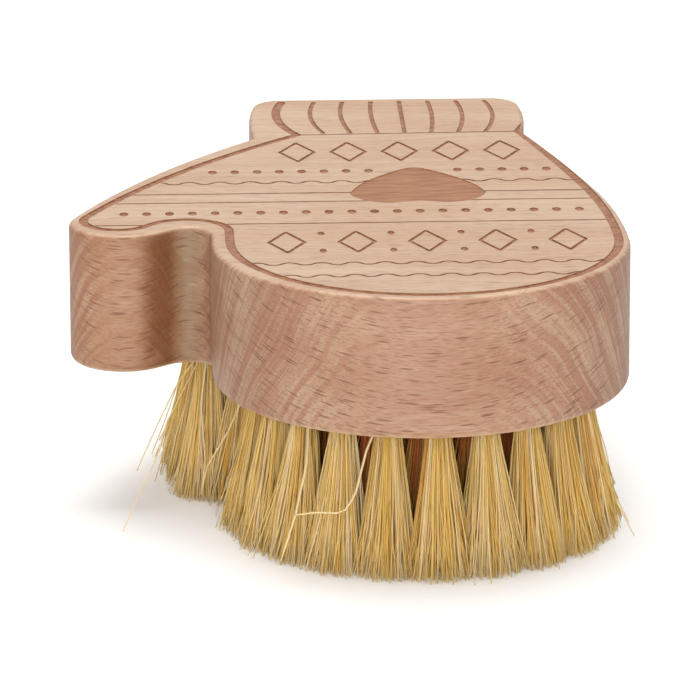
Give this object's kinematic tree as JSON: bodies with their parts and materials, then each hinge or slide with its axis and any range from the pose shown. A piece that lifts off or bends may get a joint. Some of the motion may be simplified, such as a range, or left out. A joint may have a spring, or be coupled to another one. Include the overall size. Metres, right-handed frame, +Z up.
{
  "type": "palm brush",
  "caption": "Mitten-shaped wooden palm brush with an engraved knit pattern on top and stiff plant-fibre tufts underneath, for scrubbing with the hand laid on it.",
  "frame": {"origin": "on the plane that the bristle tips stand on, under the middle of the block's length and width", "axes": "+X across the brush, away from the thumb; +Y along the brush, from the round palm end to the cuff end; +Z up, from the bristle tips to the engraved face"},
  "size_m": [0.0874, 0.12, 0.046],
  "materials": {
    "beech": "satin, sanded and lightly oiled",
    "plant_fibre": "matt natural plant fibre",
    "anchor_wire": "plain flat wire"
  },
  "bodies": {
    "root": {"block": "beech", "ring_tufts_01": "plant_fibre", "ring_tufts_02": "plant_fibre", "ring_tufts_03": "plant_fibre", "ring_tufts_04": "plant_fibre", "ring_tufts_05": "plant_fibre", "ring_tufts_06": "plant_fibre", "ring_tufts_07": "plant_fibre", "ring_tufts_08": "plant_fibre", "ring_tufts_09": "plant_fibre", "ring_tufts_10": "plant_fibre", "ring_tufts_11": "plant_fibre", "ring_tufts_12": "plant_fibre", "ring_tufts_13": "plant_fibre", "ring_tufts_14": "plant_fibre", "ring_tufts_15": "plant_fibre", "ring_tufts_16": "plant_fibre", "ring_tufts_17": "plant_fibre", "ring_tufts_18": "plant_fibre", "ring_tufts_19": "plant_fibre", "row_tufts_01": "plant_fibre", "row_tufts_02": "plant_fibre", "row_tufts_03": "plant_fibre", "row_tufts_04": "plant_fibre", "row_tufts_05": "plant_fibre", "row_tufts_06": "plant_fibre", "row_tufts_07": "plant_fibre", "row_tufts_08": "plant_fibre", "row_tufts_09": "plant_fibre", "row_tufts_10": "plant_fibre", "row_tufts_11": "plant_fibre", "row_tufts_12": "plant_fibre", "row_tufts_13": "plant_fibre", "tuft_wires": "anchor_wire"}
  },
  "joints": []
}
